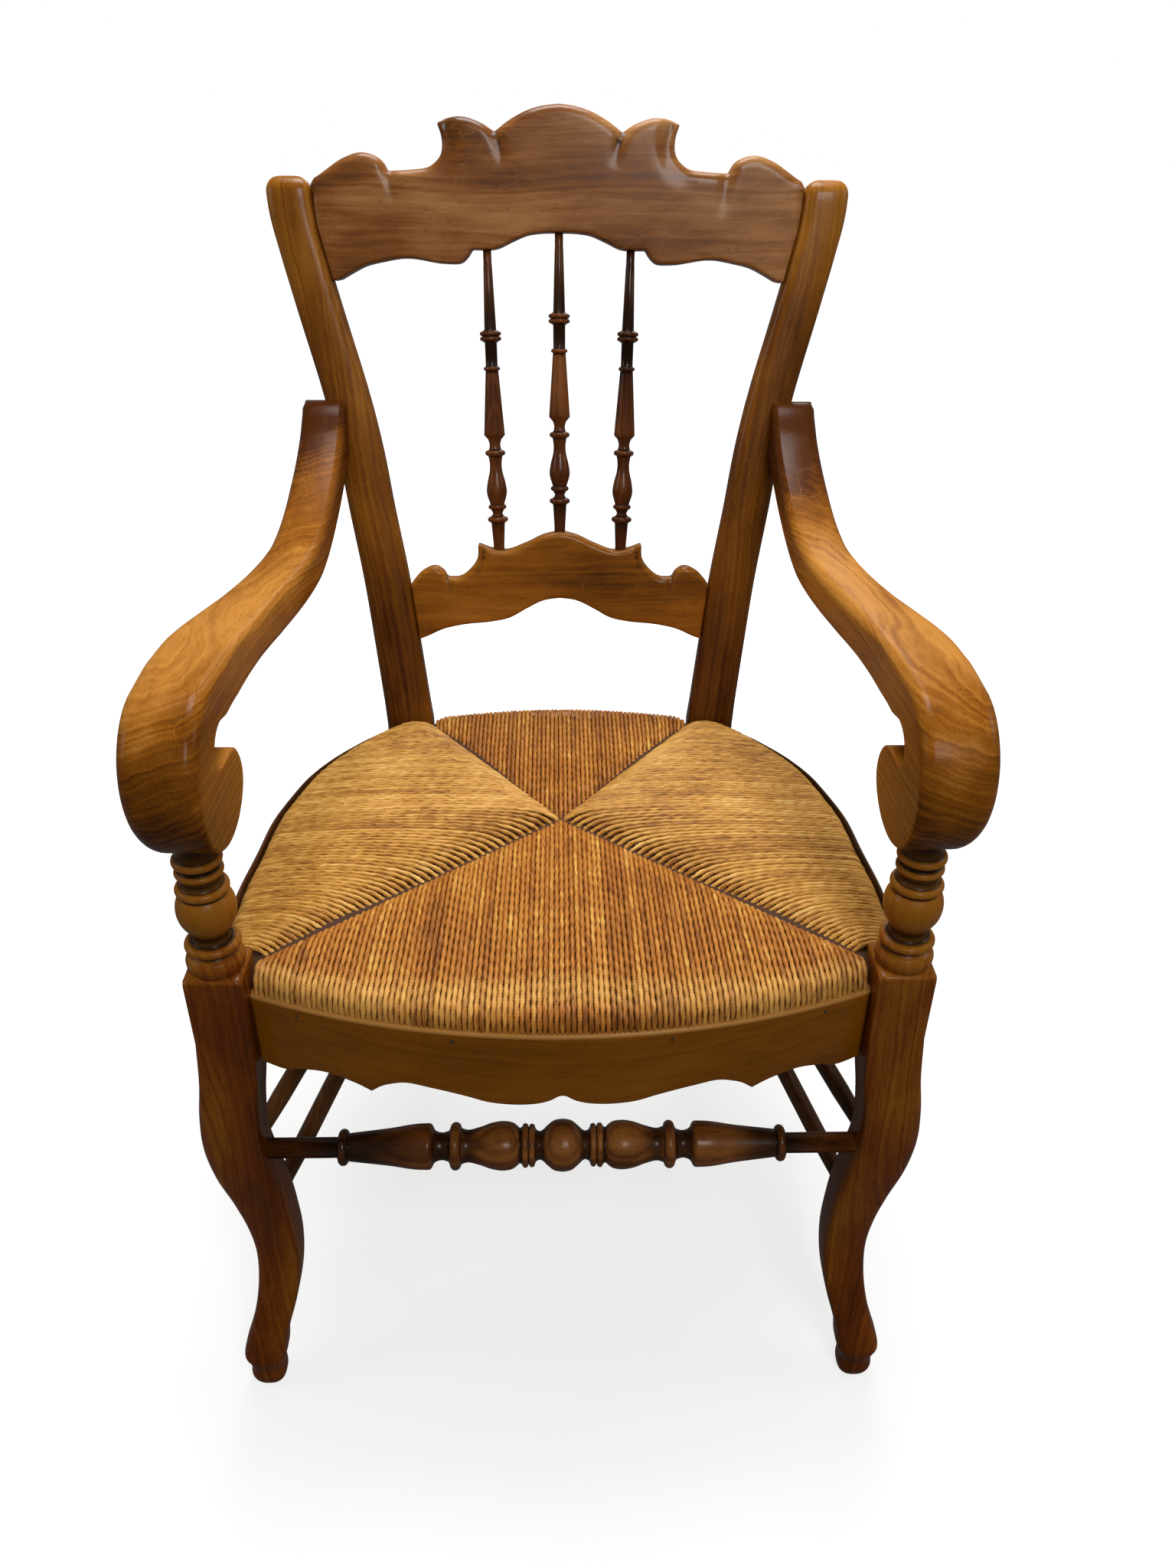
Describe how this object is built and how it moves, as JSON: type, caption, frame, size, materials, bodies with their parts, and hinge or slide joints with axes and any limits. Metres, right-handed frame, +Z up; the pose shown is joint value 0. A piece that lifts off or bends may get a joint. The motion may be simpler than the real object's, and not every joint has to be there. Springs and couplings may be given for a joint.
{
  "type": "rush seat chair",
  "caption": "Wooden armchair with a woven rush seat, scroll arms on turned supports, cabriole front legs, a scalloped apron and a carved back with turned spindles.",
  "frame": {"origin": "middle of the footprint, on the floor", "axes": "+Z up, the sitter faces -Y, +X to the right of someone who looks at the chair from the front"},
  "size_m": [0.59, 0.6028, 0.9994],
  "materials": {
    "leg_wood": "varnished, dark reddish brown hardwood",
    "post_wood": "varnished, brown hardwood",
    "arm_wood": "varnished, honey-brown hardwood with open growth rings",
    "crest_wood": "varnished, greyish brown hardwood",
    "rail_wood": "varnished, golden brown hardwood",
    "turned_wood": "turned and varnished dark hardwood",
    "rung_wood": "plain brown hardwood",
    "seat_wood": "bare hardwood under the rush",
    "apron_wood": "varnished olive-brown hardwood",
    "band_wood": "dark bent hardwood strip",
    "rush": "twisted and varnished rush",
    "steel": "dull screw and nail heads"
  },
  "bodies": {
    "root": {"front_leg_left": "leg_wood", "front_leg_right": "leg_wood", "back_post_left": "post_wood", "back_post_right": "post_wood", "arm_left": "arm_wood", "arm_right": "arm_wood", "crest_rail": "crest_wood", "crest_pegs": "crest_wood", "lower_back_rail": "rail_wood", "spindle_left": "turned_wood", "spindle_centre": "turned_wood", "spindle_right": "turned_wood", "front_stretcher": "turned_wood", "upper_stretcher_left": "rung_wood", "upper_stretcher_right": "rung_wood", "lower_stretcher_left": "rung_wood", "lower_stretcher_right": "rung_wood", "rear_stretcher": "rung_wood", "seat_rail_front": "seat_wood", "seat_rail_rear": "seat_wood", "seat_rail_left": "seat_wood", "seat_rail_right": "seat_wood", "front_apron": "apron_wood", "side_band_left": "band_wood", "side_band_right": "band_wood", "rush_seat": "rush", "arm_screws": "steel", "apron_nails": "steel"}
  },
  "joints": []
}
